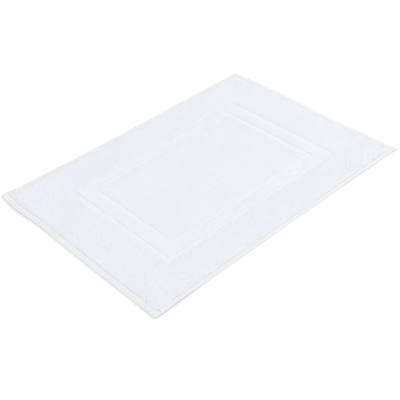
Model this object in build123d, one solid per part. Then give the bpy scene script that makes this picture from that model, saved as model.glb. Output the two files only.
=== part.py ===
from build123d import *
import os

# A terry bath mat with two woven frame lines, hemmed on all four sides.
# The origin is the middle of the footprint, on the floor. +X runs along the long side,
# +Y across the mat and +Z up. All sizes are in millimetres.

# The hemmed mat, seen from above
mat_length = 700.0
mat_width = 500.0
corner_radius = 5.0

# Through the thickness: ground cloth with loops on its face and on its reverse
cloth_thickness = 1.0
face_pile_height = 2.8
reverse_pile_height = 2.4

# Hems: the edge of the cloth is turned under twice, so a hem is three layers
end_hem_width = 15.0
side_hem_width = 12.0
layer_gap = 0.1
raw_edge_setback = 1.0
hem_joint_clearance = 0.2

# Lockstitch seams: a needle thread on top of each hem and a bobbin thread under it
seam_inset = 1.8
seam_end_margin = 2.0
stitch_length = 3.2
stitch_ramp = 0.5
thread_width = 0.6
needle_thread_height = 0.35
bobbin_thread_height = 0.15
height_left_at_hole = 0.05

# Back tacks: a few stitches sewn beside each end of a seam, to lock it
tack_stitches = 4
tack_spacing = 1.0
tack_end_margin = 12.0

# Frame lines: two rectangles woven flat, with no loops, measured to the line's middle
outer_line_from_end = 113.0
outer_line_from_side = 97.0
line_pitch_lengthwise = 37.0
line_pitch_widthwise = 33.0
line_width = 9.5
line_rib_height = 0.5

# How near the loops come to a hem
face_pile_to_seam = 1.5
reverse_pile_to_hem = 0.3

# Levels, from the floor up. A hem thicker than the reverse pile lifts the cloth.
layers_below_cloth = 2 * (cloth_thickness + layer_gap)
cloth_underside = max(reverse_pile_height, layers_below_cloth + bobbin_thread_height)
cloth_top = cloth_underside + cloth_thickness
hem_underside = cloth_underside - layers_below_cloth
pile_top = cloth_top + face_pile_height
reverse_pile_underside = cloth_underside - reverse_pile_height

# Radii of the two folds, on the outside of the bend
edge_fold_radius = (3 * cloth_thickness + 2 * layer_gap) / 2
inner_fold_radius = (2 * cloth_thickness + layer_gap) / 2

# Half sizes of the nested rectangles, as (half length, half width)
mat_half = (mat_length / 2, mat_width / 2)
hem_fold_half = (mat_half[0] - end_hem_width, mat_half[1] - side_hem_width)
seam_half = (hem_fold_half[0] + seam_inset, hem_fold_half[1] + seam_inset)
outer_line_half = (mat_half[0] - outer_line_from_end, mat_half[1] - outer_line_from_side)
inner_line_half = (
    outer_line_half[0] - line_pitch_lengthwise,
    outer_line_half[1] - line_pitch_widthwise,
)

# Outward directions of the four edges
edges = {
    "left": Vector(-1, 0, 0),
    "right": Vector(1, 0, 0),
    "front": Vector(0, -1, 0),
    "back": Vector(0, 1, 0),
}


def grown(half, margin):
    """A rectangle's half sizes with the same margin added on every side."""
    return (half[0] + margin, half[1] + margin)


def block(low, high):
    """A box between two opposite corners."""
    size = [top - bottom for bottom, top in zip(low, high)]
    return Pos(*low) * Box(*size, align=(Align.MIN, Align.MIN, Align.MIN))


def slab(half, low, high):
    """A flat rectangle about the mat's middle."""
    return block((-half[0], -half[1], low), (half[0], half[1], high))


def ring(outer, inner, low, high):
    """Four strips round an opening: two over the full width and two between them."""
    end_strip = block((inner[0], -outer[1], low), (outer[0], outer[1], high))
    side_strip = block((-inner[0], inner[1], low), (inner[0], outer[1], high))
    return [
        end_strip,
        end_strip.mirror(Plane.YZ),
        side_strip,
        side_strip.mirror(Plane.XZ),
    ]


def round_corners(solid):
    """Keep what lies inside the mat's outline with its rounded corners."""
    outline = RectangleRounded(mat_length, mat_width, corner_radius)
    return solid & extrude(outline, amount=pile_top)


def ground_cloth():
    """The flat woven cloth, up to where its edges start to turn under."""
    middle = slab(grown(mat_half, -edge_fold_radius), cloth_underside, cloth_top)
    over_end_hems = block(
        (hem_fold_half[0], -mat_half[1], cloth_underside),
        (mat_half[0] - edge_fold_radius, mat_half[1], cloth_top),
    )
    return round_corners(middle + over_end_hems + over_end_hems.mirror(Plane.YZ))


def folded_hem(outward, edge_distance, hem_width, run):
    """Cloth turned under at the edge and folded again at the seam, as one strip."""
    section = Plane(origin=(0, 0, 0), x_dir=outward, z_dir=outward.cross(Vector(0, 0, 1)))
    edge_centre = edge_distance - edge_fold_radius
    fold_centre = edge_distance - hem_width + inner_fold_radius
    raw_edge = edge_centre - raw_edge_setback
    middle_top = cloth_underside - layer_gap
    middle_underside = middle_top - cloth_thickness
    bottom_top = hem_underside + cloth_thickness
    edge_level = (cloth_top + hem_underside) / 2
    edge_bore = edge_fold_radius - cloth_thickness
    fold_level = (middle_top + hem_underside) / 2
    fold_bore = inner_fold_radius - cloth_thickness
    with BuildPart() as hem:
        with BuildSketch(section):
            with BuildLine():
                ThreePointArc(
                    (edge_centre, cloth_top), (edge_distance, edge_level), (edge_centre, hem_underside)
                )
                Line((edge_centre, hem_underside), (fold_centre, hem_underside))
                ThreePointArc(
                    (fold_centre, hem_underside),
                    (fold_centre - inner_fold_radius, fold_level),
                    (fold_centre, middle_top),
                )
                Polyline(
                    (fold_centre, middle_top),
                    (raw_edge, middle_top),
                    (raw_edge, middle_underside),
                    (fold_centre, middle_underside),
                )
                ThreePointArc(
                    (fold_centre, middle_underside),
                    (fold_centre - fold_bore, fold_level),
                    (fold_centre, bottom_top),
                )
                Line((fold_centre, bottom_top), (edge_centre, bottom_top))
                ThreePointArc(
                    (edge_centre, bottom_top),
                    (edge_centre + edge_bore, edge_level),
                    (edge_centre, cloth_underside),
                )
                Line((edge_centre, cloth_underside), (edge_centre, cloth_top))
            make_face()
        extrude(amount=run / 2, both=True)
    return round_corners(hem.part)


def thread(outward, distance, start, stitches, pitch, level, height, up):
    """One sewing thread: a crown for each stitch, and a dip at each needle hole."""
    along = Vector(0, 0, 1).cross(outward)
    section = Plane(
        origin=outward * distance + Vector(0, 0, level), x_dir=along, z_dir=along.cross(up)
    )
    points = [(start, 0)]
    for stitch in range(stitches):
        hole = start + stitch * pitch
        points.append((hole, height_left_at_hole))
        points.append((hole + stitch_ramp, height))
        points.append((hole + pitch - stitch_ramp, height))
    end = start + stitches * pitch
    points += [(end, height_left_at_hole), (end, 0)]
    outline = make_face(Polyline(*points, close=True))
    return extrude(section * outline, amount=thread_width / 2, both=True)


def seam(side):
    """A seam's distance from the middle, half its run, its stitches and their pitch."""
    if side in ("left", "right"):
        distance = seam_half[0]
        half_run = mat_half[1] - seam_end_margin
    else:
        distance = seam_half[1]
        half_run = hem_fold_half[0] - hem_joint_clearance - seam_end_margin
    stitches = round(2 * half_run / stitch_length)
    return distance, half_run, stitches, 2 * half_run / stitches


def needle_thread(side):
    """The thread on top of a hem."""
    distance, half_run, stitches, pitch = seam(side)
    up = Vector(0, 0, 1)
    return thread(edges[side], distance, -half_run, stitches, pitch, cloth_top,
                  needle_thread_height, up)


def bobbin_thread(side):
    """The thread under a hem."""
    distance, half_run, stitches, pitch = seam(side)
    down = Vector(0, 0, -1)
    return thread(edges[side], distance, -half_run, stitches, pitch, hem_underside,
                  bobbin_thread_height, down)


def back_tacks():
    """A short row of stitches beside both ends of every seam."""
    tacks = []
    for side, outward in edges.items():
        distance, half_run, stitches, pitch = seam(side)
        tack_run = tack_stitches * pitch
        near_end = -half_run + tack_end_margin
        for start in (near_end, -near_end - tack_run):
            tacks.append(thread(outward, distance + tack_spacing, start, tack_stitches, pitch,
                                cloth_top, needle_thread_height, Vector(0, 0, 1)))
    return tacks


def save(name, solids):
    """Write one node, which may hold several separate solids."""
    shape = Compound(children=solids) if len(solids) > 1 else solids[0]
    export_step(shape, os.path.join("parts", name + ".step"))


os.makedirs("parts", exist_ok=True)

save("ground_cloth", [ground_cloth()])

# Loops and frame lines on the face and on the reverse
half_line = line_width / 2
outer_line_edges = (grown(outer_line_half, half_line), grown(outer_line_half, -half_line))
inner_line_edges = (grown(inner_line_half, half_line), grown(inner_line_half, -half_line))
face_edge = grown(seam_half, -face_pile_to_seam)
reverse_edge = grown(hem_fold_half, -reverse_pile_to_hem)

for side_name, outer_edge, low, high in (
    ("face", face_edge, cloth_top, pile_top),
    ("reverse", reverse_edge, reverse_pile_underside, cloth_underside),
):
    save(side_name + "_pile_border", ring(outer_edge, outer_line_edges[0], low, high))
    save(side_name + "_pile_band", ring(outer_line_edges[1], inner_line_edges[0], low, high))
    save(side_name + "_pile_centre", [slab(inner_line_edges[1], low, high)])

line_top = cloth_top + line_rib_height
save("frame_line_outer", ring(*outer_line_edges, cloth_top, line_top))
save("frame_line_inner", ring(*inner_line_edges, cloth_top, line_top))

# Hems and the seams that hold them
end_run = mat_width
side_run = 2 * (hem_fold_half[0] - hem_joint_clearance)
for end in ("left", "right"):
    save("end_hem_" + end, [folded_hem(edges[end], mat_half[0], end_hem_width, end_run)])
for side in ("front", "back"):
    save("side_hem_" + side, [folded_hem(edges[side], mat_half[1], side_hem_width, side_run)])
for edge in edges:
    save("needle_thread_" + edge, [needle_thread(edge)])
    save("bobbin_thread_" + edge, [bobbin_thread(edge)])
save("back_tacks", back_tacks())
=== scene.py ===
import math
from types import SimpleNamespace

import bmesh
import bpy
import numpy as np
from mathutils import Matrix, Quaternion, Vector


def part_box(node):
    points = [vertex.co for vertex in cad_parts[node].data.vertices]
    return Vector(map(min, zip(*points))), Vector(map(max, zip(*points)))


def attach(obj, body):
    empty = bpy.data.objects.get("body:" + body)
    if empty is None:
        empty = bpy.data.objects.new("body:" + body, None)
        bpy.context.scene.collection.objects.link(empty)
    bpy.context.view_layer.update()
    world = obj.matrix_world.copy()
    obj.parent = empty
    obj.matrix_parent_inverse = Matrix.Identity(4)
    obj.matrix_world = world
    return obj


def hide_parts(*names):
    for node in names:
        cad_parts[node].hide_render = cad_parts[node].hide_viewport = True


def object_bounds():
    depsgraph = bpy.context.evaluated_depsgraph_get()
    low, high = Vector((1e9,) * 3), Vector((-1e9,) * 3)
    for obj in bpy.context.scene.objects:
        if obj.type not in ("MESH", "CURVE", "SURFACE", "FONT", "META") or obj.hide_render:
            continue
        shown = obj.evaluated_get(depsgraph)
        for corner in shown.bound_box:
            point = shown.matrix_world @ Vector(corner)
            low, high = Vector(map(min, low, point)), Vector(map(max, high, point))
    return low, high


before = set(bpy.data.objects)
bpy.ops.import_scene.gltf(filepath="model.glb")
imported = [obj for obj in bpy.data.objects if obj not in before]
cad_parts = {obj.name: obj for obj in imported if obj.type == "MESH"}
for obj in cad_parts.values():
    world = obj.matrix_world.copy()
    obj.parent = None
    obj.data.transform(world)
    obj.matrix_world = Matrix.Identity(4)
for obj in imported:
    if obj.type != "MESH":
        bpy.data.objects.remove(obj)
cad_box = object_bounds()

MM = 0.001
BODY = "root"

# ---------------------------------------------------------------- sizes taken from the frame

half_length, half_width, pile_top = cad_box[1]
cloth_under, cloth_top = (corner.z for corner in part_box("ground_cloth"))
cloth_thickness = cloth_top - cloth_under
hem_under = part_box("end_hem_right")[0].z
hem_height = cloth_top - hem_under
hem_middle = (cloth_top + hem_under) / 2
end_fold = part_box("end_hem_right")[0].x
side_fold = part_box("side_hem_back")[0].y


def middle(node):
    """The middle of a node's box."""
    low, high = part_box(node)
    return (low + high) / 2


def outer_edge(node):
    """Half length and half width of a node that lies about the mat's middle."""
    return tuple(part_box(node)[1].xy)


end_seam, side_seam = middle("needle_thread_right").x, middle("needle_thread_back").y
end_seam_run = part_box("needle_thread_right")[1].y
side_seam_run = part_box("needle_thread_back")[1].x
pile_edge = outer_edge("face_pile_border")
outer_line_edge = outer_edge("frame_line_outer")
band_edge = outer_edge("face_pile_band")
inner_line_edge = outer_edge("frame_line_inner")
centre_edge = outer_edge("face_pile_centre")
reverse_edge = outer_edge("reverse_pile_border")
line_width = outer_line_edge[0] - band_edge[0]

# ---------------------------------------------------------------- how the mat lies

# How far in from an edge its wandering is felt, and how the four corners turn
EDGE_REACH = 75 * MM
CORNER_ROUNDING = 4.5 * MM
DOG_EAR = 3.0 * MM
DOG_EAR_REACH = 16 * MM
TUCK_ACROSS = 4.5 * MM
TUCK_ALONG = 2.7 * MM
TUCK_REACH = 30 * MM

# The front edge is pulled in, except near its left corner, and most of that narrows its hem
FRONT_PULL = 2.7 * MM
UNPULLED_CORNER = 85 * MM
FRONT_HEM_SHARE = 0.6
FRONT_HEM_REACH = 8 * MM

# Wandering edges and frame lines, as rises along them: height, place and spread in mm
LEFT_SHIFT = 0.8 * MM
LEFT_WANDER = ((1.6, 90, 50), (-2.2, 195, 38))
RIGHT_WANDER = ((4.6, 120, 115), (-2.2, -60, 50))
FRONT_WANDER = ((0.8, 160, 160),)
BACK_WANDER = ((-3.8, -80, 190), (-1.8, 80, 50))
LINES_ALONG = ((2.0, -218, 50),)
LINES_ACROSS = ((-6.0, -140, 55), (1.5, 140, 55))

# Patches that lift off the floor, and the ripple along the back edge
LIFTED_PATCHES = (
    (1.1 * MM, (-half_length, 170 * MM), (90 * MM, 70 * MM)),
    (0.9 * MM, (250 * MM, -half_width), (120 * MM, 40 * MM)),
    (1.8 * MM, (-300 * MM, -half_width), (60 * MM, 30 * MM)),
)
RIPPLE_HEIGHT = 0.5 * MM
RIPPLE_LENGTH = 52 * MM


def swell(t, place, spread):
    """A smooth rise of one at a place, fading over its spread."""
    return np.exp(-(((t - place) / spread) ** 2))


def wander(t, rises):
    """A sum of smooth rises along a line."""
    return sum(
        height * MM * swell(t, place * MM, spread * MM) for height, place, spread in rises
    )


def patch(x, y, place, spread):
    """A smooth rise of one over a patch of the mat."""
    return swell(x, place[0], spread[0]) * swell(y, place[1], spread[1])


def settle(points):
    """Lay points of the flat mat down as limp cloth: edges wander, patches lift, corners turn."""
    x, y, z = points.T.copy()
    in_corner_x = np.clip((np.abs(x) - half_length + CORNER_ROUNDING) / CORNER_ROUNDING, 0, 1)
    in_corner_y = np.clip((np.abs(y) - half_width + CORNER_ROUNDING) / CORNER_ROUNDING, 0, 1)
    x -= np.sign(x) * CORNER_ROUNDING * in_corner_x * (1 - np.sqrt(1 - in_corner_y**2 / 2))
    y -= np.sign(y) * CORNER_ROUNDING * in_corner_y * (1 - np.sqrt(1 - in_corner_x**2 / 2))

    near_left, near_right = (swell(x, end * half_length, EDGE_REACH) for end in (-1, 1))
    near_front, near_back = (swell(y, side * half_width, EDGE_REACH) for side in (-1, 1))
    left = (LEFT_SHIFT + wander(y, LEFT_WANDER)) * near_left
    right = wander(y, RIGHT_WANDER) * near_right
    front = FRONT_PULL * (1 - swell(x, -half_length, UNPULLED_CORNER)) + wander(x, FRONT_WANDER)
    front *= (
        (1 - FRONT_HEM_SHARE) * near_front
        + FRONT_HEM_SHARE * swell(y, -half_width, FRONT_HEM_REACH)
    )
    back = wander(x, BACK_WANDER) * near_back

    ear = DOG_EAR * patch(x, y, (half_length, -half_width), (DOG_EAR_REACH, DOG_EAR_REACH))
    tuck = patch(x, y, (-half_length, half_width), (TUCK_REACH, TUCK_REACH))
    lift = RIPPLE_HEIGHT * near_back * (0.5 + 0.5 * np.sin(x / RIPPLE_LENGTH))
    for height, place, spread in LIFTED_PATCHES:
        lift += height * patch(x, y, place, spread)
    along = left + right + wander(x, LINES_ALONG) + ear + TUCK_ALONG * tuck
    across = front + back + wander(y, LINES_ACROSS) - ear + TUCK_ACROSS * tuck
    return np.stack([x + along, y + across, z + lift], axis=1)


# ---------------------------------------------------------------- meshes and pieces

CLOTH_MAP = "Cloth"


def points_of(mesh):
    """The places of a mesh's points, one row each."""
    points = np.empty(len(mesh.vertices) * 3)
    mesh.vertices.foreach_get("co", points)
    return points.reshape(-1, 3)


def closed_mesh(points, faces, finish, cloth_map=None):
    """A smooth mesh, its loose points removed, faces turned outwards and open ends left flat.

    A cloth map, where given, holds the place on the flat cloth of each corner of each face.
    """
    mesh = bpy.data.meshes.new("cloth")
    mesh.from_pydata(points.tolist(), [], faces)
    if cloth_map:
        layer = mesh.uv_layers.new(name=CLOTH_MAP)
        layer.data.foreach_set("uv", np.array(cloth_map).ravel())
    work = bmesh.new()
    work.from_mesh(mesh)
    loose = [point for point in work.verts if not point.link_faces]
    bmesh.ops.delete(work, geom=loose, context="VERTS")
    bmesh.ops.recalc_face_normals(work, faces=work.faces)
    for face in work.faces:
        face.smooth = len(face.verts) == 4
    work.to_mesh(mesh)
    work.free()
    mesh.materials.append(finish)
    return mesh


def join(meshes):
    """One mesh out of several that share a material, with what is stored on them."""
    parts = [bpy.data.objects.new("part", mesh) for mesh in meshes]
    for part in parts:
        bpy.context.scene.collection.objects.link(part)
    with bpy.context.temp_override(active_object=parts[0], selected_editable_objects=parts):
        bpy.ops.object.join()
    whole = parts[0].data
    bpy.data.objects.remove(parts[0])
    return whole


def piece(name, mesh, node):
    """Lay a flat mesh down as a named piece of the mat, which stands for a CAD node."""
    mesh.vertices.foreach_set("co", settle(points_of(mesh)).ravel())
    mesh.update()
    mesh.name = name
    made = bpy.data.objects.new(name, mesh)
    bpy.context.scene.collection.objects.link(made)
    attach(made, BODY)
    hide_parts(node)
    return made


# ---------------------------------------------------------------- nodes


def step(tree, kind, sockets=None, output=0, **settings):
    """Add a node, give its sockets values or links, and return one of its outputs."""
    node = tree.nodes.new(kind)
    for setting, value in settings.items():
        setattr(node, setting, value)
    for label, value in (sockets or {}).items():
        if isinstance(value, bpy.types.NodeSocket):
            tree.links.new(value, node.inputs[label])
        else:
            node.inputs[label].default_value = value
    return node.outputs[output]


def reckon(tree, operation, *numbers):
    """The result of one sum or product."""
    return step(tree, "ShaderNodeMath", dict(enumerate(numbers)), operation=operation)


def vector(tree, **parts):
    """A vector put together from its X, Y and Z."""
    return step(tree, "ShaderNodeCombineXYZ", parts)


def random_vector(tree, low, high, seed):
    """A random vector for each point, between two corners."""
    return step(
        tree, "FunctionNodeRandomValue", {0: low, 1: high, "Seed": seed}, data_type="FLOAT_VECTOR"
    )


def either_way(tree, seed, **reach):
    """A random vector for each point, up to its reach along each axis, either way."""
    back = {axis: reckon(tree, "MULTIPLY", far, -1.0) for axis, far in reach.items()}
    return random_vector(tree, vector(tree, **back), vector(tree, **reach), seed)


def turn_or_scale(tree, shape, **change):
    """A shape turned or scaled as a whole."""
    return step(tree, "GeometryNodeTransform", {"Geometry": shape, **change})


def round_cord(tree, path, sides, thickness):
    """A closed cord along a path, with this many sides to its section."""
    radius = reckon(tree, "MULTIPLY", thickness, 0.5)
    section = step(
        tree, "GeometryNodeCurvePrimitiveCircle", {"Resolution": sides, "Radius": radius}
    )
    return step(
        tree, "GeometryNodeCurveToMesh",
        {"Curve": path, "Profile Curve": section, "Fill Caps": True},
    )


def row_of_places(tree, size, count):
    """Evenly spaced places in a row."""
    return step(
        tree, "GeometryNodeMeshLine",
        {"Count": count, "Start Location": size["Start"], "Offset": size["Pace"]},
        mode="OFFSET",
    )


def growing_tree(name, sizes):
    """An empty geometry tree with named inputs, each given as its socket kind and default."""
    tree = bpy.data.node_groups.new(name, "GeometryNodeTree")
    tree.interface.new_socket("Piece", in_out="OUTPUT", socket_type="NodeSocketGeometry")
    for label, (kind, value) in sizes.items():
        socket = tree.interface.new_socket(label, in_out="INPUT", socket_type="NodeSocket" + kind)
        if value is not None:
            socket.default_value = value
    return tree, tree.nodes.new("NodeGroupInput").outputs


def finish_tree(tree, instances, finish):
    """End a tree: instances made real, smooth shading, one material."""
    real = step(tree, "GeometryNodeRealizeInstances", {"Geometry": instances})
    smooth = step(tree, "GeometryNodeSetShadeSmooth", {"Geometry": real})
    coat = step(tree, "GeometryNodeSetMaterial", {"Geometry": smooth, "Material": finish})
    end = tree.nodes.new("NodeGroupOutput")
    tree.links.new(coat, end.inputs[0])


def grow(tree, **sizes):
    """Run a tree once with these sizes, and keep the result as a plain mesh."""
    carrier = bpy.data.objects.new("carrier", bpy.data.meshes.new("carrier"))
    bpy.context.scene.collection.objects.link(carrier)
    grower = carrier.modifiers.new("grow", "NODES")
    grower.node_group = tree
    for socket in tree.interface.items_tree:
        if socket.in_out == "INPUT":
            grower[socket.identifier] = sizes[socket.name.lower().replace(" ", "_")]
    ready = carrier.evaluated_get(bpy.context.evaluated_depsgraph_get())
    mesh = bpy.data.meshes.new_from_object(ready)
    carrier.modifiers.remove(grower)
    bpy.data.objects.remove(carrier)
    return mesh


# ---------------------------------------------------------------- finishes

PILE_SHADE = (0.897, 0.904, 0.937)
PILE_LIGHT = (0.919, 0.926, 0.957)
PILE_PATCH = 110 * MM
FINE_PATCH = 4 * MM
TONE_RANGE = (0.35, 0.65)
ROUGHNESS_SPREAD = 0.08
LOOP_TONE_SPREAD = 0.08
# Across the mat, where the painted shade on the frame lines begins and where it is full
PAINTED_SHADE_START = 80 * MM
PAINTED_SHADE_END = 145 * MM


def noise(tree, place, size, detail=2.0):
    """Soft random patches of one size."""
    return step(
        tree, "ShaderNodeTexNoise", {"Vector": place, "Scale": 1 / size, "Detail": detail}
    )


def cotton(name, shade, light, patch_size, roughness, sheen):
    """White cotton, with a broad and a fine drift between a shade and a light tone."""
    finish = bpy.data.materials.new(name)
    finish.use_nodes = True
    tree = finish.node_tree
    shader = tree.nodes["Principled BSDF"]
    shader.inputs["Sheen Weight"].default_value = sheen
    shader.inputs["Sheen Roughness"].default_value = 0.6
    shader.inputs["Specular IOR Level"].default_value = 0.2
    place = step(tree, "ShaderNodeTexCoord", output="Object")
    broad = noise(tree, place, patch_size, detail=3.0)
    fine = noise(tree, place, FINE_PATCH)
    drift = reckon(tree, "MULTIPLY", reckon(tree, "ADD", broad, fine), 0.5)
    tone = tree.nodes.new("ShaderNodeValToRGB")
    tree.links.new(drift, tone.inputs["Fac"])
    for stop, position, colour in zip(tone.color_ramp.elements, TONE_RANGE, (shade, light)):
        stop.position = position
        stop.color = (*colour, 1)
    tree.links.new(tone.outputs["Color"], shader.inputs["Base Color"])
    dull = step(
        tree, "ShaderNodeMapRange",
        {"Value": fine, "To Min": roughness - ROUGHNESS_SPREAD,
         "To Max": roughness + ROUGHNESS_SPREAD},
    )
    tree.links.new(dull, shader.inputs["Roughness"])
    return SimpleNamespace(
        finish=finish, tree=tree, shader=shader, place=place, drift=drift, tone=tone
    )


def raise_grain(cloth, height, strength, distance):
    """Drive a finish's bump with a height."""
    bump = step(
        cloth.tree, "ShaderNodeBump",
        {"Height": height, "Strength": strength, "Distance": distance},
    )
    cloth.tree.links.new(bump, cloth.shader.inputs["Normal"])


def loop_yarn():
    """Soft plied yarn of the loops, each loop a touch lighter or darker."""
    yarn = cotton("loop_yarn", PILE_SHADE, PILE_LIGHT, PILE_PATCH, roughness=0.88, sheen=0.08)
    own = step(yarn.tree, "ShaderNodeAttribute", output="Fac", attribute_name="loop_tone")
    own_tone = step(
        yarn.tree, "ShaderNodeMapRange",
        {"Value": own, "To Min": -LOOP_TONE_SPREAD, "To Max": LOOP_TONE_SPREAD},
    )
    both = reckon(yarn.tree, "ADD", own_tone, yarn.drift)
    yarn.tree.links.new(both, yarn.tone.inputs["Fac"])
    fibre = noise(yarn.tree, yarn.place, size=0.5 * MM)
    raise_grain(yarn, fibre, strength=0.35, distance=0.2 * MM)
    return yarn.finish


def pile_bed_yarn():
    """The dense lower part of the pile, seen between the loops."""
    bed = cotton("pile_bed_yarn", PILE_SHADE, PILE_LIGHT, PILE_PATCH, roughness=0.9, sheen=0.08)
    legs = step(
        bed.tree, "ShaderNodeTexVoronoi", {"Vector": bed.place, "Scale": 1 / (1.4 * MM)},
        feature="SMOOTH_F1",
    )
    raise_grain(bed, legs, strength=0.5, distance=-0.4 * MM)
    return bed.finish


def plain_weave(name, shade, light, thread, mapped=None, painted_shade=None):
    """Flat woven cotton: warp and weft waves, with slubs.

    A cloth map, where given, makes the weave follow the folds. A painted shade colour, where
    given,
    takes over towards the back: the cloth is painted darker there, as if less lit.
    """
    cloth = cotton(name, shade, light, patch_size=60 * MM, roughness=0.86, sheen=0.05)
    tree, place = cloth.tree, cloth.place
    # Painted shade: the colour darkens towards the back, as if the ribs there were less lit
    if painted_shade:
        across = step(tree, "ShaderNodeSeparateXYZ", {0: place}, output="Y")
        painted_shade_share = step(
            tree, "ShaderNodeMapRange",
            {"Value": across, "From Min": PAINTED_SHADE_START, "From Max": PAINTED_SHADE_END},
        )
        painted_shade_tone = step(
            tree, "ShaderNodeMixRGB",
            {"Fac": painted_shade_share, "Color1": cloth.tone.outputs["Color"], "Color2": (*painted_shade, 1)},
        )
        tree.links.new(painted_shade_tone, cloth.shader.inputs["Base Color"])
    if mapped:
        place = step(tree, "ShaderNodeUVMap", uv_map=mapped)
    waves = [
        step(
            tree, "ShaderNodeTexWave",
            {"Vector": place, "Scale": 1 / (math.pi * thread), "Distortion": 0.6,
             "Detail": 1.0, "Detail Scale": 2.0},
            output="Fac", wave_type="BANDS", bands_direction=direction,
        )
        for direction in "XY"
    ]
    slub = noise(tree, place, size=6 * MM)
    height = reckon(tree, "ADD", reckon(tree, "MULTIPLY", *waves), slub)
    raise_grain(cloth, height, strength=0.4, distance=0.15 * MM)
    return cloth.finish


def sewing_thread():
    """Twisted white thread with a slight shine."""
    thread = cotton(
        "sewing_thread", (0.91, 0.917, 0.945), (0.94, 0.947, 0.97),
        patch_size=20 * MM, roughness=0.6, sheen=0.05,
    )
    ply = step(
        thread.tree, "ShaderNodeTexWave", {"Vector": thread.place, "Scale": 1 / (2.4 * MM)},
        output="Fac", wave_type="BANDS", bands_direction="DIAGONAL",
    )
    raise_grain(thread, ply, strength=0.5, distance=0.1 * MM)
    return thread.finish


LOOPS, BED = loop_yarn(), pile_bed_yarn()
GROUND = plain_weave(
    "ground_weave", (0.86, 0.867, 0.9), (0.89, 0.897, 0.925), thread=0.9 * MM
)
# The ribs carry a painted shade, darker towards the back of the mat
RIBS = plain_weave(
    "rib_weave", (0.895, 0.901, 0.928), (0.92, 0.926, 0.95), thread=0.6 * MM,
    painted_shade=(0.883, 0.889, 0.914),
)
HEM = plain_weave(
    "hem_weave", (0.81, 0.817, 0.85), (0.84, 0.847, 0.875), thread=0.7 * MM, mapped=CLOTH_MAP
)
THREAD = sewing_thread()

# ---------------------------------------------------------------- trees that repeat a shape

# How much the sizes of loops vary, and a stitch's least slant as a share of its most
LEAST_LOOP = (0.9, 0.9, 0.9)
LARGEST_LOOP = (1.15, 1.15, 1.06)
LEAST_SLANT = 0.2


def loop_tree():
    """Terry loops standing on a strip of cloth, in rows, each leaning its own way."""
    tree, size = growing_tree("terry_loops", {
        "Strip Length": ("Float", 0.1), "Strip Width": ("Float", 0.1), "Middle": ("Vector", None),
        "Loops Along": ("Int", 10), "Loops Across": ("Int", 10), "Jitter": ("Float", 0.0),
        "Loop Width": ("Float", 0.002), "Loop Height": ("Float", 0.002),
        "Yarn Thickness": ("Float", 0.001), "Lean": ("Float", 0.3), "Turn": ("Float", 0.6),
        "Flip": ("Float", 0.0), "Seed": ("Int", 0), "Yarn": ("Material", None),
    })
    arch = step(
        tree, "GeometryNodeCurveArc",
        {"Resolution": 4, "Radius": 1.0, "Start Angle": 0.0, "Sweep Angle": math.pi},
    )
    upright = turn_or_scale(tree, arch, Rotation=(math.pi / 2, 0, 0))
    loop_reach = reckon(tree, "MULTIPLY", size["Loop Width"], 0.5)
    shaped = turn_or_scale(
        tree, upright, Scale=vector(tree, X=loop_reach, Y=loop_reach, Z=size["Loop Height"])
    )
    yarn = round_cord(tree, shaped, sides=3, thickness=size["Yarn Thickness"])
    loop = turn_or_scale(tree, yarn, Rotation=vector(tree, X=size["Flip"]))

    rows = step(
        tree, "GeometryNodeMeshGrid",
        {"Size X": size["Strip Length"], "Size Y": size["Strip Width"],
         "Vertices X": size["Loops Along"], "Vertices Y": size["Loops Across"]},
    )
    stray = either_way(tree, size["Seed"], X=size["Jitter"], Y=size["Jitter"])
    away = step(tree, "ShaderNodeVectorMath", {0: stray, 1: size["Middle"]}, operation="ADD")
    rooted = step(tree, "GeometryNodeSetPosition", {"Geometry": rows, "Offset": away})
    turn_seed, growth_seed = (reckon(tree, "ADD", size["Seed"], more) for more in (1.0, 2.0))
    turned = either_way(tree, turn_seed, X=size["Lean"], Y=size["Lean"], Z=size["Turn"])
    grown = random_vector(tree, LEAST_LOOP, LARGEST_LOOP, growth_seed)
    planted = step(
        tree, "GeometryNodeInstanceOnPoints",
        {"Points": rooted, "Instance": loop, "Rotation": turned, "Scale": grown},
    )
    own_tone = step(
        tree, "FunctionNodeRandomValue", {"Seed": size["Seed"]}, output="Value",
        data_type="FLOAT",
    )
    toned = step(
        tree, "GeometryNodeStoreNamedAttribute",
        {"Geometry": planted, "Name": "loop_tone", "Value": own_tone},
        data_type="FLOAT", domain="INSTANCE",
    )
    finish_tree(tree, toned, size["Yarn"])
    return tree


def stitch_tree():
    """A row of stitches, each an arched length of thread that dives into the cloth."""
    tree, size = growing_tree("lockstitches", {
        "Start": ("Vector", None), "Pace": ("Vector", None), "Stitches": ("Int", 10),
        "Stitch Span": ("Float", 0.003), "Rise": ("Float", 0.0003), "Sink": ("Float", 0.0003),
        "Thread Thickness": ("Float", 0.0005), "Heading": ("Vector", None),
        "Slant": ("Float", 0.1), "Seed": ("Int", 0), "Thread": ("Material", None),
    })
    behind, ahead = (
        reckon(tree, "MULTIPLY", size["Stitch Span"], share) for share in (-0.5, 0.5)
    )
    down = reckon(tree, "MULTIPLY", size["Sink"], -1.0)
    crown = reckon(tree, "MULTIPLY_ADD", size["Rise"], 2.0, size["Sink"])
    path = step(
        tree, "GeometryNodeCurveQuadraticBezier",
        {"Resolution": 5, "Start": vector(tree, X=behind, Z=down),
         "Middle": vector(tree, Z=crown), "End": vector(tree, X=ahead, Z=down)},
    )
    stitch = round_cord(tree, path, sides=5, thickness=size["Thread Thickness"])
    headed = turn_or_scale(tree, stitch, Rotation=size["Heading"])
    least = reckon(tree, "MULTIPLY", size["Slant"], LEAST_SLANT)
    slanted = random_vector(
        tree, vector(tree, Z=least), vector(tree, Z=size["Slant"]), size["Seed"]
    )
    row = step(
        tree, "GeometryNodeInstanceOnPoints",
        {"Points": row_of_places(tree, size, size["Stitches"]), "Instance": headed,
         "Rotation": slanted},
    )
    finish_tree(tree, row, size["Thread"])
    return tree


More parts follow.
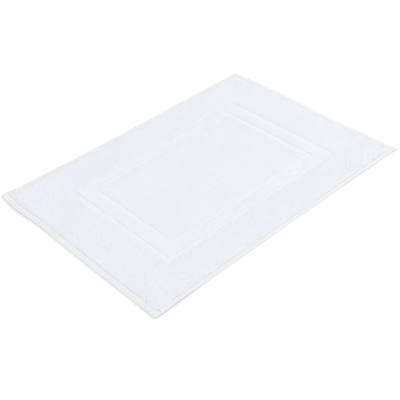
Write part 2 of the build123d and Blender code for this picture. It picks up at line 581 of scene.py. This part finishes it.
def rib_tree():
    """Parallel woven ribs side by side, each a fine cord bent along its length."""
    tree, size = growing_tree("woven_ribs", {
        "Start": ("Vector", None), "Pace": ("Vector", None), "Ribs": ("Int", 10),
        "Rib Span": ("Vector", None), "Bends": ("Int", 4), "Rib Thickness": ("Float", 0.001),
        "Unevenness": ("Float", 0.0), "Seed": ("Int", 0), "Weave": ("Material", None),
    })
    line = step(tree, "GeometryNodeCurvePrimitiveLine", {"End": size["Rib Span"]})
    bent = step(tree, "GeometryNodeResampleCurve", {"Curve": line, "Count": size["Bends"]})
    rib = round_cord(tree, bent, sides=6, thickness=size["Rib Thickness"])
    places = step(
        tree, "GeometryNodeSetPosition",
        {"Geometry": row_of_places(tree, size, size["Ribs"]),
         "Offset": either_way(tree, size["Seed"], Z=size["Unevenness"])},
    )
    woven = step(tree, "GeometryNodeInstanceOnPoints", {"Points": places, "Instance": rib})
    finish_tree(tree, woven, size["Weave"])
    return tree


LOOP_TREE, STITCH_TREE, RIB_TREE = loop_tree(), stitch_tree(), rib_tree()

# ---------------------------------------------------------------- cloth slabs

CLOTH_CELL = 9 * MM
LEAST_GAP = 0.05 * MM
ROLL_STEPS = (0.12, 0.3, 0.55, 1.0)
THIN_REACH = 8 * MM
THIN_EDGE = 0.27
GROOVE_WALL = 0.75


def grid_lines(out, opening, shoulders):
    """Grid lines out to both sides, closer together beside the edge and an opening's edge."""
    stops = [-out, -opening, opening, out] if opening else [-out, out]
    lines = set()
    for start, end in zip(stops, stops[1:]):
        count = max(1, round((end - start) / CLOTH_CELL))
        lines.update(np.linspace(start, end, count + 1))
        for shoulder in shoulders:
            if 2 * shoulder < end - start:
                lines.update((start + shoulder, end - shoulder))
    kept = []
    for value in sorted(lines):
        if not kept or value - kept[-1] > LEAST_GAP:
            kept.append(value)
    return np.array(kept)


def inside(x, y, outer, inner):
    """How far points lie inside an outline about the middle, and clear of its opening."""
    depth = np.minimum(outer[0] - np.abs(x), outer[1] - np.abs(y))
    if inner:
        depth = np.minimum(depth, np.maximum(np.abs(x) - inner[0], np.abs(y) - inner[1]))
    return depth


def edge_height(depth, least):
    """The pile's share of its full height, from its edge (0) to where it stands upright (1)."""
    return least + (1 - least) * np.sin(np.clip(depth, 0, 1) * math.pi / 2)


def slab_faces(solid):
    """Faces of a closed slab over the solid cells of a grid; its top's points come second."""
    rows, columns = solid.shape
    across = columns + 1
    lift = (rows + 1) * across
    round_about = np.pad(solid, 1)
    faces = []
    for row, column in np.argwhere(solid).tolist():
        a = row * across + column
        b, c, d = a + 1, a + across + 1, a + across
        faces += [(a + lift, b + lift, c + lift, d + lift), (d, c, b, a)]
        for up, over, start, end in ((-1, 0, a, b), (0, 1, b, c), (1, 0, c, d), (0, -1, d, a)):
            if not round_about[row + 1 + up, column + 1 + over]:
                faces.append((start, end, end + lift, start + lift))
    return faces


def slab(outer, inner, low, high, finish, roll=0.0, thin_out=1.0):
    """A closed slab about the middle, whose top may roll off at its edges and thin outwards."""
    shoulders = [roll * share for share in ROLL_STEPS]
    openings = inner or (0, 0)
    xs = grid_lines(outer[0], openings[0], shoulders if roll else [])
    ys = grid_lines(outer[1], openings[1], shoulders if roll else [])
    x, y = np.meshgrid(xs, ys)
    top = np.full_like(x, high)
    if roll:
        share = edge_height(inside(x, y, outer, inner) / roll, GROOVE_WALL)
        share *= edge_height(inside(x, y, outer, None) / THIN_REACH, thin_out)
        top = low + (high - low) * share
    levels = (np.full_like(x, low), top)
    points = np.concatenate([np.stack([x, y, z], -1).reshape(-1, 3) for z in levels])
    open_columns = np.abs(xs[:-1] + xs[1:]) / 2 < openings[0]
    open_rows = np.abs(ys[:-1] + ys[1:]) / 2 < openings[1]
    return closed_mesh(points, slab_faces(~np.outer(open_rows, open_columns)), finish)


# ---------------------------------------------------------------- pile

LOOP_PITCH = 2.25 * MM
YARN = 1.2 * MM
BED_HEIGHT = 1.6 * MM
LOOP_ROOT = 0.4 * MM
REVERSE_PITCH = 4.2 * MM
REVERSE_YARN = 1.4 * MM
REVERSE_BED = 1.2 * MM
EDGE_INSET = 0.7 * MM
SHORTER_EDGE = 4.0 * MM
TO_SEAM = 1.2 * MM

# A loop's stray, width and height, as shares of the pitch and of the pile above the root
LOOP_STRAY = 0.34
LOOP_WIDTH = 0.85
LOOP_HEIGHT = 0.94
LOOP_TURN = math.radians(65)
LOOP_LEAN = math.radians(18)
BAND_LEAN = math.radians(30)
SEED_STEP = 10


def strip_of_loops(corners, area, seed, reverse, lean=LOOP_LEAN):
    """Loops over one rectangle of an area, from corner to corner; shorter at the area's edge."""
    low, high = corners
    pitch = REVERSE_PITCH if reverse else LOOP_PITCH
    yarn = REVERSE_YARN if reverse else YARN
    level = cloth_under - LOOP_ROOT if reverse else cloth_top + LOOP_ROOT
    rise = (cloth_under if reverse else pile_top - cloth_top) - LOOP_ROOT - 0.5 * yarn
    length, width = (high[i] - low[i] - 2 * EDGE_INSET for i in (0, 1))
    mesh = grow(
        LOOP_TREE,
        strip_length=length, strip_width=width,
        middle=((low[0] + high[0]) / 2, (low[1] + high[1]) / 2, level),
        loops_along=round(length / pitch) + 1, loops_across=round(width / pitch) + 1,
        jitter=LOOP_STRAY * pitch, loop_width=LOOP_WIDTH * pitch, loop_height=LOOP_HEIGHT * rise,
        yarn_thickness=yarn, lean=lean, turn=LOOP_TURN,
        flip=math.pi if reverse else 0.0, seed=seed, yarn=LOOPS,
    )
    x, y, z = points_of(mesh).T
    share = edge_height(inside(x, y, *area) / SHORTER_EDGE, GROOVE_WALL)
    if area[0][0] > outer_line_edge[0]:
        share *= edge_height(inside(x, y, area[0], None) / THIN_REACH, THIN_EDGE)
    z = level + (z - level) * share
    mesh.vertices.foreach_set("co", np.stack([x, y, z], axis=1).ravel())
    return mesh


def ring_strips(outer, inner):
    """Corners of the four strips round an opening, by name."""
    return {
        "left": ((-outer[0], -outer[1]), (-inner[0], outer[1])),
        "right": ((inner[0], -outer[1]), (outer[0], outer[1])),
        "front": ((-inner[0], -outer[1]), (inner[0], -inner[1])),
        "back": ((-inner[0], inner[1]), (inner[0], outer[1])),
    }


def lay_pile(face, edge, reverse, first_seed):
    """All the pile on one face of the cloth: three beds and the loops that stand in them."""
    border = (edge, outer_line_edge)
    band = (band_edge, inner_line_edge)
    centre = (centre_edge, None)
    bed_low, bed_high, roll = cloth_under - REVERSE_BED, cloth_under, 0.0
    if not reverse:
        border = (tuple(reach + TO_SEAM for reach in edge), outer_line_edge)
        bed_low, bed_high, roll = cloth_top, cloth_top + BED_HEIGHT, SHORTER_EDGE
    made = []
    for name, area, thin_out in (
        ("border", border, THIN_EDGE), ("band", band, 1.0), ("centre", centre, 1.0)
    ):
        node = f"{face}_pile_{name}"
        bed = slab(*area, bed_low, bed_high, BED, roll=roll, thin_out=thin_out)
        made.append(piece(node + "_bed", bed, node))

    seed = first_seed
    node = f"{face}_pile_border"
    for side, corners in ring_strips(*border).items():
        seed += SEED_STEP
        loops = strip_of_loops(corners, border, seed, reverse)
        made.append(piece(f"{node}_loops_{side}", loops, node))
    node = f"{face}_pile_band"
    strips = []
    for corners in ring_strips(*band).values():
        seed += SEED_STEP
        strips.append(strip_of_loops(corners, band, seed, reverse, lean=BAND_LEAN))
    made.append(piece(f"{node}_loops", join(strips), node))
    node = f"{face}_pile_centre"
    reach_x, reach_y = centre_edge
    for side, (start, end) in {"left": (-reach_x, 0), "right": (0, reach_x)}.items():
        seed += SEED_STEP
        loops = strip_of_loops(((start, -reach_y), (end, reach_y)), centre, seed, reverse)
        made.append(piece(f"{node}_loops_{side}", loops, node))
    return made


face_pile = lay_pile("face", pile_edge, reverse=False, first_seed=100)
lay_pile("reverse", reverse_edge, reverse=True, first_seed=500)

# ---------------------------------------------------------------- ground cloth and frame lines

HEM_START = 2.0 * MM
RIB_THICKNESS = 1.1 * MM
RIB_PITCH = 1.05 * MM
RIB_LEVEL = cloth_top + 0.4 * MM
RIB_BEND = 12 * MM
RIB_UNEVENNESS = 0.06 * MM

ground_edge = (end_seam - HEM_START, side_seam - HEM_START)
ground = piece(
    "ground_cloth_sheet", slab(ground_edge, None, cloth_under, cloth_top, GROUND),
    "ground_cloth",
)


def frame_line(name, outer, seed):
    """The flat-woven ribs of one frame line, all running lengthwise."""
    inner = (outer[0] - line_width, outer[1] - line_width)
    margin = RIB_THICKNESS / 2
    woven = []
    for low, high in ring_strips(outer, inner).values():
        seed += 1
        span = high[0] - low[0]
        run = high[1] - low[1] - 2 * margin
        ribs = round(run / RIB_PITCH)
        woven.append(grow(
            RIB_TREE,
            start=(low[0], low[1] + margin, RIB_LEVEL), pace=(0, run / ribs, 0), ribs=ribs + 1,
            rib_span=(span, 0, 0), bends=max(3, round(span / RIB_BEND)),
            rib_thickness=RIB_THICKNESS, unevenness=RIB_UNEVENNESS, seed=seed, weave=RIBS,
        ))
    return piece(name + "_ribs", join(woven), name)


outer_line = frame_line("frame_line_outer", outer_line_edge, seed=31)
inner_line = frame_line("frame_line_inner", inner_line_edge, seed=41)

# ---------------------------------------------------------------- hems

STITCH = 3.2 * MM
LAYER = 0.9 * cloth_thickness

# A hem crowns between seam and edge, with slow waves, and an end hem more at the mat's corners
HEM_CROWN = 0.7 * MM
CORNER_BULK = 0.3 * MM
CORNER_BULK_REACH = 4 * MM
END_HEM_FADE = 6 * MM
SIDE_HEM_FADE = 16 * MM
CROWN_FULLNESS = 0.8
INNER_CROWN = 0.5
RAW_EDGE_SETBACK = 1 * MM
HEM_UNREST = 0.25 * MM
WAVES = 6
WAVE_SIZES = (9, 40)

# The stitches pull the seam down, and it puckers up and down from half stitch to half stitch
SEAM_DIP = 0.1 * MM
PUCKER = 0.12 * MM
SEAM_DIP_REACH = 1.3 * MM
SEAM_STEPS = (-1.6, -0.7, 0, 0.7, 1.6)
PAST_SEAM = 2.6 * MM

# The rounded ends of the end hems, as shares of the hem's half height
NOSE = hem_height / 2
NOSE_STEPS = (0.0, 0.12, 0.35, 0.65)
NOSE_LIMIT = 0.985


def arc(centre, radius, start, end, count):
    """Points along an arc, by angle in degrees."""
    angles = np.radians(np.linspace(start, end, count))
    return [(centre[0] + radius * math.cos(a), centre[1] + radius * math.sin(a)) for a in angles]


def hem_path(edge, fold, seam):
    """The mid-line of a hem's cloth: over the top, round the edge, back to the fold and under.

    It comes with the rise of each point where the hem crowns, and the dip of each at the seam.
    """
    half_cloth = cloth_thickness / 2
    fold_top = cloth_under - (hem_height - 3 * cloth_thickness) / 2
    edge_radius, fold_radius = hem_height / 2, (fold_top - hem_under) / 2
    edge_centre = (edge - edge_radius, hem_middle)
    fold_centre = (fold + fold_radius, (fold_top + hem_under) / 2)
    top, bottom, between = cloth_top - half_cloth, hem_under + half_cloth, fold_top - half_cloth
    over = [seam - HEM_START, *(seam + offset * MM for offset in SEAM_STEPS)]
    over = [*over, *np.linspace(seam + PAST_SEAM, edge_centre[0], 8)]
    back = np.linspace(edge_centre[0], fold_centre[0], 6)[1:]
    under = np.linspace(fold_centre[0], edge_centre[0] - RAW_EDGE_SETBACK, 5)[1:]
    path = np.array([
        *((x, top) for x in over),
        *arc(edge_centre, edge_radius - half_cloth, 90, -90, 9)[1:],
        *((x, bottom) for x in back),
        *arc(fold_centre, fold_radius - half_cloth, 270, 90, 6)[1:],
        *((x, between) for x in under),
    ])
    order = np.arange(len(path))
    on_top = order < len(over)
    folded_in = order >= len(path) - len(under)
    share = np.clip((path[:, 0] - seam) / (edge_centre[0] - seam), 0, 1)
    rise = np.sin(math.pi * share) ** CROWN_FULLNESS * (on_top + INNER_CROWN * folded_in)
    dip = np.where(on_top, swell(path[:, 0], seam, SEAM_DIP_REACH), 0)
    return path, rise, dip


def hem_rows(run, rounded):
    """Places along a hem, two to a stitch, and closer together at a rounded end."""
    rows = np.linspace(-run, run, 2 * round(run / (STITCH / 2)) + 1)
    if not rounded:
        return rows
    tips = run - NOSE * np.array(NOSE_STEPS)
    return np.concatenate([-tips, rows[np.abs(rows) < run - NOSE], tips[::-1]])


def hem_crown(out, run, rounded):
    """How far a hem crowns at a distance out from its middle."""
    if not rounded:
        return HEM_CROWN * min(1, (run - out) / SIDE_HEM_FADE)
    bulk = CORNER_BULK * float(np.clip((out - side_fold) / CORNER_BULK_REACH, 0, 1))
    return (HEM_CROWN + bulk) * min(1, (run - out) / END_HEM_FADE)


def hem_sections(path, rise, dip, rows, run, rounded, seed):
    """The outline of a hem's cloth at each of its rows."""
    tangent = np.gradient(path, axis=0)
    tangent /= np.linalg.norm(tangent, axis=1)[:, None]
    half_layer = np.stack([-tangent[:, 1], tangent[:, 0]], axis=1) * LAYER / 2
    chance = np.random.default_rng(seed)
    waves = [
        (chance.uniform(*WAVE_SIZES) * MM, chance.uniform(0, 2 * math.pi)) for _ in range(WAVES)
    ]
    sections = []
    for index, row in enumerate(rows):
        unrest = sum(math.sin(row / size * 2 * math.pi + phase) for size, phase in waves) / WAVES
        mid = path.copy()
        mid[:, 1] += rise * (hem_crown(abs(row), run, rounded) + HEM_UNREST * unrest)
        mid[:, 1] -= dip * (SEAM_DIP + PUCKER * (1 if index % 2 else -1))
        section = np.concatenate([mid + half_layer, (mid - half_layer)[::-1]])
        if rounded:
            beyond = min(max(0, abs(row) - (run - NOSE)) / NOSE, NOSE_LIMIT)
            section[:, 1] = hem_middle + (section[:, 1] - hem_middle) * math.sqrt(1 - beyond**2)
        sections.append(section)
    return sections


def hem_faces(rows, around):
    """Faces from row to row and over the two ends, with their corners' places on the cloth."""
    count = len(around) - 1
    faces, cloth_map = [], []
    for row, (start, end) in enumerate(zip(rows, rows[1:])):
        near, far = row * count, (row + 1) * count
        for point in range(count):
            after = (point + 1) % count
            faces.append((near + point, near + after, far + after, far + point))
            cloth_map += [(start, around[point]), (start, around[point + 1]),
                          (end, around[point + 1]), (end, around[point])]
    last = (len(rows) - 1) * count
    faces += [tuple(range(count)), tuple(last + point for point in reversed(range(count)))]
    cloth_map += [(row, value) for row in (rows[0], rows[-1]) for value in around[:count]]
    return faces, cloth_map


def hem(name, outward, edge, fold, seam, run, rounded, seed):
    """One hem: cloth turned under twice, crowned over its seam and puckered by the stitches."""
    path, rise, dip = hem_path(edge, fold, seam)
    rows = hem_rows(run, rounded)
    sections = hem_sections(path, rise, dip, rows, run, rounded, seed)
    along = (-outward[1], outward[0])
    points = np.concatenate([
        np.column_stack([
            outward[0] * section[:, 0] + along[0] * row,
            outward[1] * section[:, 0] + along[1] * row,
            section[:, 1],
        ])
        for row, section in zip(rows, sections)
    ])
    lengths = np.concatenate([[0], np.cumsum(np.linalg.norm(np.diff(path, axis=0), axis=1))])
    around = np.concatenate([lengths, lengths[-1] + LAYER + lengths])
    around = np.append(around, around[-1] + LAYER)
    faces, cloth_map = hem_faces(rows, around)
    mesh = closed_mesh(points, faces, HEM, cloth_map)
    return piece(name + "_cloth", mesh, name), (float(lengths[-1]), 2 * run)


SIDES = {"left": (-1, 0), "right": (1, 0), "front": (0, -1), "back": (0, 1)}
GAP_TO_END_HEM = 0.2 * MM
HEM_SEED = 60

side_hem_run = end_seam - HEM_START - GAP_TO_END_HEM
for number, (side, outward) in enumerate(SIDES.items()):
    if outward[0]:
        hem("end_hem_" + side, outward, half_length, end_fold, end_seam,
                         half_width, rounded=True, seed=HEM_SEED + number)
    else:
        hem("side_hem_" + side, outward, half_width, side_fold, side_seam,
                         side_hem_run, rounded=False, seed=HEM_SEED + number)

# ---------------------------------------------------------------- seams and back tacks

THREAD_THICKNESS = 0.62 * MM
BOBBIN_THICKNESS = 0.3 * MM
NEEDLE_LEVEL = cloth_top - SEAM_DIP + 0.12 * MM
SEAM_SEED = 80

# A stitch's span, rise and sink, as shares of the stitch length and of the thread
STITCH_SPAN = 0.86
STITCH_RISE = 0.3
STITCH_SINK = 0.55
STITCH_SLANT = math.radians(9)

TACK_STITCHES = 4
TACK_SPACING = 1.0 * MM
TACK_FROM_END = 12 * MM
TACK_LEVEL = cloth_top + 0.1 * MM
TACK_SEED = 90


def stitch_row(outward, distance, start, stitches, level, thickness, under, seed):
    """Stitches along one side of the mat, on top of a hem or under it."""
    along = Vector((-outward[1], outward[0], 0))
    first = Vector((*outward, 0)) * distance + along * (start + STITCH / 2)
    return grow(
        STITCH_TREE,
        start=(first.x, first.y, level), pace=along * STITCH, stitches=stitches,
        stitch_span=STITCH_SPAN * STITCH, rise=STITCH_RISE * thickness,
        sink=STITCH_SINK * thickness, thread_thickness=thickness,
        heading=(math.pi if under else 0, 0, math.atan2(along.y, along.x)),
        slant=STITCH_SLANT, seed=seed, thread=THREAD,
    )


seams = {}
tacks = []
for number, (side, outward) in enumerate(SIDES.items()):
    distance, run = (end_seam, end_seam_run) if outward[0] else (side_seam, side_seam_run)
    stitches = round(2 * run / STITCH)
    seams[side] = []
    for kind, level, thickness, under in (
        ("needle", NEEDLE_LEVEL, THREAD_THICKNESS, False),
        ("bobbin", hem_under, BOBBIN_THICKNESS, True),
    ):
        row = stitch_row(outward, distance, -stitches * STITCH / 2, stitches, level, thickness,
                         under, seed=SEAM_SEED + number)
        node = f"{kind}_thread_{side}"
        seams[side].append(piece(node + "_stitches", row, node))
    far_start = run - TACK_FROM_END - TACK_STITCHES * STITCH
    for tack_start in (far_start, -(run - TACK_FROM_END)):
        tacks.append(stitch_row(outward, distance + TACK_SPACING, tack_start, TACK_STITCHES,
                                TACK_LEVEL, THREAD_THICKNESS, under=False,
                                seed=TACK_SEED + number))
piece("back_tacks_stitches", join(tacks), "back_tacks")

# ---------------------------------------------------------------- floor, light and camera


def stage_floor():
    """A wide pale floor."""
    finish = bpy.data.materials.new("floor_paper")
    finish.use_nodes = True
    shader = finish.node_tree.nodes["Principled BSDF"]
    shader.inputs["Base Color"].default_value = (0.99, 0.99, 0.99, 1)
    shader.inputs["Roughness"].default_value = 1.0
    shader.inputs["Specular IOR Level"].default_value = 0.0
    reach = 8.0
    mesh = bpy.data.meshes.new("floor")
    corners = [(-reach, -reach, 0), (reach, -reach, 0), (reach, reach, 0), (-reach, reach, 0)]
    mesh.from_pydata(corners, [], [(0, 1, 2, 3)])
    mesh.materials.append(finish)
    floor = bpy.data.objects.new("floor", mesh)
    bpy.context.scene.collection.objects.link(floor)


def studio_light():
    """White surroundings, and one large soft box to the right of the mat, a little in front."""
    world = bpy.data.worlds.new("studio")
    world.use_nodes = True
    surround = world.node_tree.nodes["Background"]
    surround.inputs["Color"].default_value = (1, 1, 1, 1)
    surround.inputs["Strength"].default_value = 0.985
    bpy.context.scene.world = world
    bpy.context.scene.view_settings.view_transform = "Standard"
    soft_box = bpy.data.lights.new("soft_box", "AREA")
    soft_box.shape = "SQUARE"
    soft_box.size = 1.7
    soft_box.energy = 17
    place = Vector((2.6, -1.2, 1.8))
    lamp = bpy.data.objects.new("soft_box", soft_box)
    lamp.location = place
    lamp.rotation_euler = (-place).to_track_quat("-Z", "Y").to_euler()
    bpy.context.scene.collection.objects.link(lamp)


def picture_camera():
    """The camera that looks down on the mat from its front left."""
    data = bpy.data.cameras.new("camera")
    data.lens = 71.9
    data.sensor_width = 36.0
    camera = bpy.data.objects.new("camera", data)
    place = Vector((-0.9108, -1.0372, 1.0172))
    target = Vector((-0.0672, -0.0630, 0.0))
    tilt = Quaternion((0, 0, 1), math.radians(-3.70))
    aim = (target - place).to_track_quat("-Z", "Y") @ tilt
    camera.location = place
    camera.rotation_euler = aim.to_euler()
    bpy.context.scene.collection.objects.link(camera)
    bpy.context.scene.camera = camera


stage_floor()
studio_light()
picture_camera()
